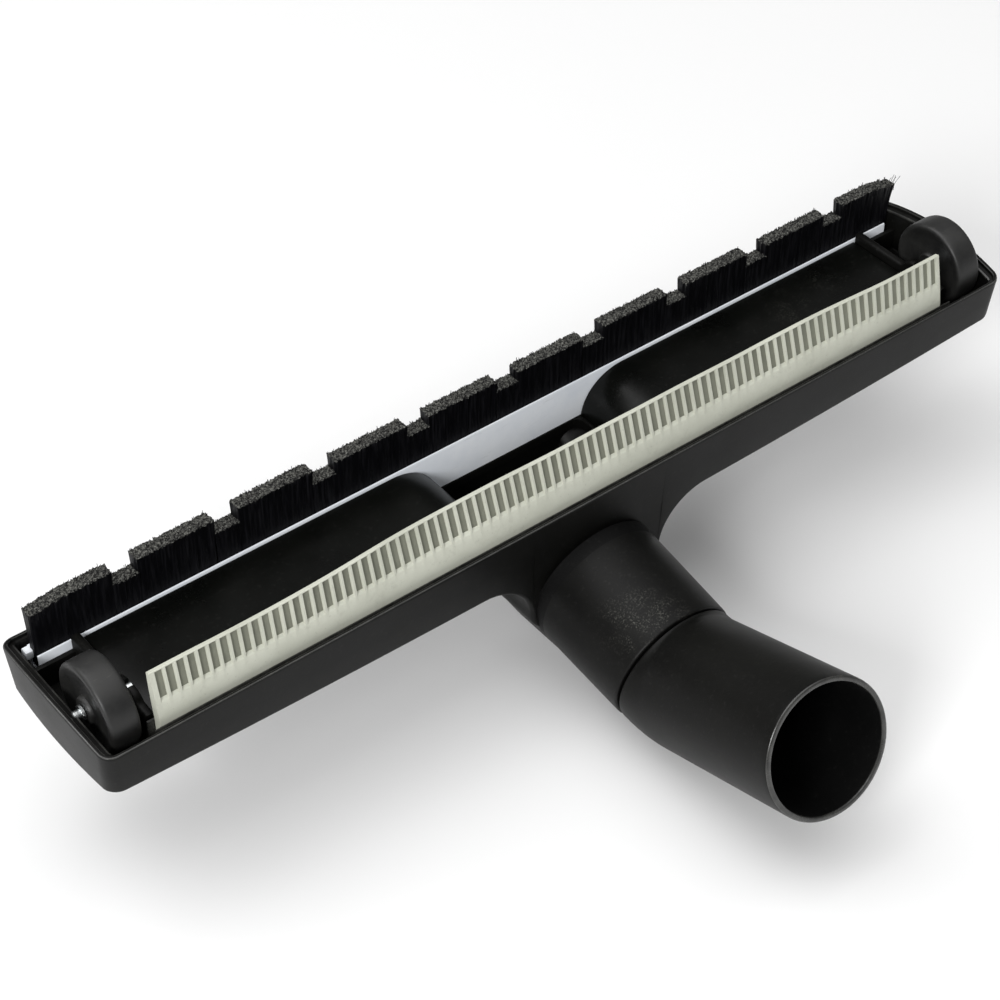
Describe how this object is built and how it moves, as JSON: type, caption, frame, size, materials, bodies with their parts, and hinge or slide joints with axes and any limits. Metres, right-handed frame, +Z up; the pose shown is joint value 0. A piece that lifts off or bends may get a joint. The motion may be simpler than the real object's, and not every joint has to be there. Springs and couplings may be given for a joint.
{
  "type": "wet and dry vacuum floor nozzle",
  "caption": "Long floor nozzle for a wet and dry vacuum, working face up, with a notched brush strip, a ribbed rubber squeegee, end wheels, a throat and a swivel elbow to the tube.",
  "frame": {"origin": "bottom centre of the whole tool's bounding box, on the plane that the tool lies on with its working face up", "axes": "+X along the head, +Y from the neck side to the brush side, +Z up out of the working face"},
  "size_m": [0.302, 0.1476, 0.0716],
  "materials": {
    "satin_black": "satin moulded grain",
    "gloss_black": "semi-gloss",
    "white_plastic": "semi-gloss",
    "bristle": "dense cut nylon bristle",
    "grey_rubber": "matt",
    "wheel_rubber": "smooth matt",
    "steel": "bright zinc"
  },
  "bodies": {
    "head": {"axle_left": "steel", "axle_right": "steel", "housing": "satin_black", "neck_tube": "satin_black", "plate_left": "gloss_black", "plate_right": "gloss_black", "retaining_ring": "steel", "squeegee_holder": "satin_black"},
    "elbow": {"elbow_tube": "satin_black"},
    "left_wheel": {"wheel_left": "wheel_rubber"},
    "right_wheel": {"wheel_right": "wheel_rubber"},
    "brush": {"brush_carrier": "white_plastic", "tuft_long_01": "bristle", "tuft_long_02": "bristle", "tuft_long_03": "bristle", "tuft_long_04": "bristle", "tuft_long_05": "bristle", "tuft_long_06": "bristle", "tuft_long_07": "bristle", "tuft_long_08": "bristle", "tuft_long_09": "bristle", "tuft_long_10": "bristle", "tuft_short_01": "bristle", "tuft_short_02": "bristle", "tuft_short_03": "bristle", "tuft_short_04": "bristle", "tuft_short_05": "bristle", "tuft_short_06": "bristle", "tuft_short_07": "bristle", "tuft_short_08": "bristle", "tuft_short_09": "bristle"},
    "blade": {"squeegee": "grey_rubber"}
  },
  "joints": [
    {"name": "elbow_swivel", "type": "hinge", "parent": "head", "child": "elbow", "pos_m": [0, -0.00767, 0.0197], "axis": [0, -0.9863, -0.165], "continuous": true},
    {"name": "left_wheel_spin", "type": "hinge", "parent": "head", "child": "left_wheel", "pos_m": [-0.1408, 0.04023, 0.0574], "axis": [1, 0, 0], "continuous": true},
    {"name": "right_wheel_spin", "type": "hinge", "parent": "head", "child": "right_wheel", "pos_m": [0.1408, 0.04023, 0.0574], "axis": [1, 0, 0], "continuous": true},
    {"name": "brush_lift_out", "type": "slide", "parent": "head", "child": "brush", "axis": [0, 0, 1], "range_m": [0, 0.012]},
    {"name": "blade_lift_out", "type": "slide", "parent": "head", "child": "blade", "axis": [0, 0, 1], "range_m": [0, 0.012]}
  ]
}
